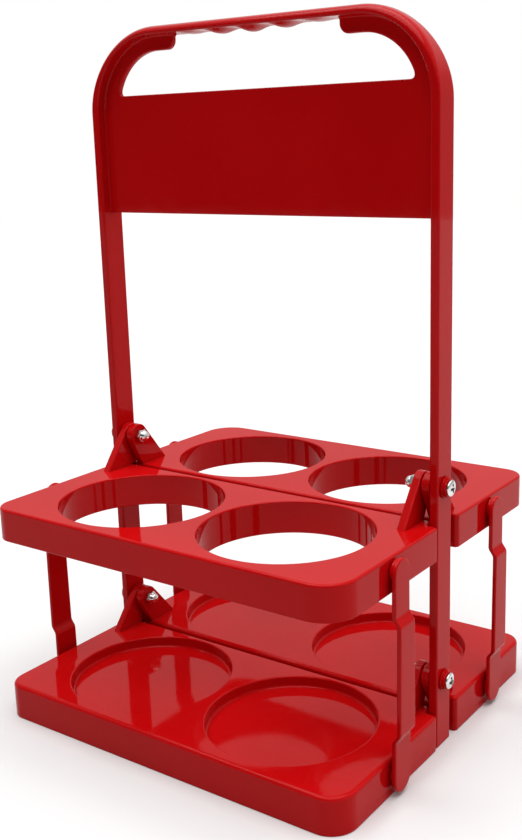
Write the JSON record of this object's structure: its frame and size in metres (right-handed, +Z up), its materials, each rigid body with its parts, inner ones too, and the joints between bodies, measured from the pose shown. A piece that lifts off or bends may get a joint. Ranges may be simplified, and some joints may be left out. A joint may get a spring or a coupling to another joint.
{
  "type": "bottle carrier",
  "caption": "Folding bottle carrier: a flat-bar handle frame with a finger grip, and split upper and lower trays that hinge up against its arms on screws, tied by cranked side struts.",
  "frame": {"origin": "on the floor under the middle of the carrier, midway between the two arms", "axes": "+Z up, +X to the right along the front, from the left arm to the right arm, +Y to the rear"},
  "size_m": [0.1898, 0.163, 0.2994],
  "materials": {
    "red_plastic": "glossy moulded red plastic",
    "plated_steel": "bright plated steel"
  },
  "bodies": {
    "frame": {"handle_frame": "red_plastic", "upper_right_bush": "red_plastic", "upper_left_bush": "red_plastic", "lower_right_bush": "red_plastic", "lower_left_bush": "red_plastic", "upper_right_screw": "plated_steel", "upper_left_screw": "plated_steel", "lower_right_screw": "plated_steel", "lower_left_screw": "plated_steel", "upper_right_cap_nut": "plated_steel", "upper_left_cap_nut": "plated_steel", "lower_right_cap_nut": "plated_steel", "lower_left_cap_nut": "plated_steel"},
    "upper_front": {"upper_front_tray": "red_plastic"},
    "lower_front": {"lower_front_tray": "red_plastic"},
    "upper_rear": {"upper_rear_tray": "red_plastic"},
    "lower_rear": {"lower_rear_tray": "red_plastic"},
    "front_right_link": {"front_right_strut": "red_plastic"},
    "front_left_link": {"front_left_strut": "red_plastic"},
    "rear_right_link": {"rear_right_strut": "red_plastic"},
    "rear_left_link": {"rear_left_strut": "red_plastic"}
  },
  "joints": [
    {"name": "upper_front_fold", "type": "hinge", "parent": "frame", "child": "upper_front", "pos_m": [0, 0, 0.113], "axis": [-1, 0, 0], "range_deg": [0, 94]},
    {"name": "lower_front_fold", "type": "hinge", "parent": "frame", "child": "lower_front", "pos_m": [0, 0, 0.0292], "axis": [-1, 0, 0], "range_deg": [0, 94]},
    {"name": "front_right_swing", "type": "hinge", "parent": "upper_front", "child": "front_right_link", "pos_m": [0.0908, -0.042, 0.0923], "axis": [-1, 0, 0], "range_deg": [-94, 0]},
    {"name": "front_left_swing", "type": "hinge", "parent": "upper_front", "child": "front_left_link", "pos_m": [-0.0908, -0.042, 0.0923], "axis": [-1, 0, 0], "range_deg": [-94, 0]},
    {"name": "upper_rear_fold", "type": "hinge", "parent": "frame", "child": "upper_rear", "pos_m": [0, 0, 0.113], "axis": [1, 0, 0], "range_deg": [0, 94]},
    {"name": "lower_rear_fold", "type": "hinge", "parent": "frame", "child": "lower_rear", "pos_m": [0, 0, 0.0292], "axis": [1, 0, 0], "range_deg": [0, 94]},
    {"name": "rear_right_swing", "type": "hinge", "parent": "upper_rear", "child": "rear_right_link", "pos_m": [0.0908, 0.042, 0.0923], "axis": [1, 0, 0], "range_deg": [-94, 0]},
    {"name": "rear_left_swing", "type": "hinge", "parent": "upper_rear", "child": "rear_left_link", "pos_m": [-0.0908, 0.042, 0.0923], "axis": [1, 0, 0], "range_deg": [-94, 0]}
  ],
  "couplings": [
    {"joint": "lower_front_fold", "follows": "upper_front_fold", "ratio": 1},
    {"joint": "front_right_swing", "follows": "upper_front_fold", "ratio": -1},
    {"joint": "front_left_swing", "follows": "upper_front_fold", "ratio": -1},
    {"joint": "lower_rear_fold", "follows": "upper_rear_fold", "ratio": 1},
    {"joint": "rear_right_swing", "follows": "upper_rear_fold", "ratio": -1},
    {"joint": "rear_left_swing", "follows": "upper_rear_fold", "ratio": -1}
  ]
}
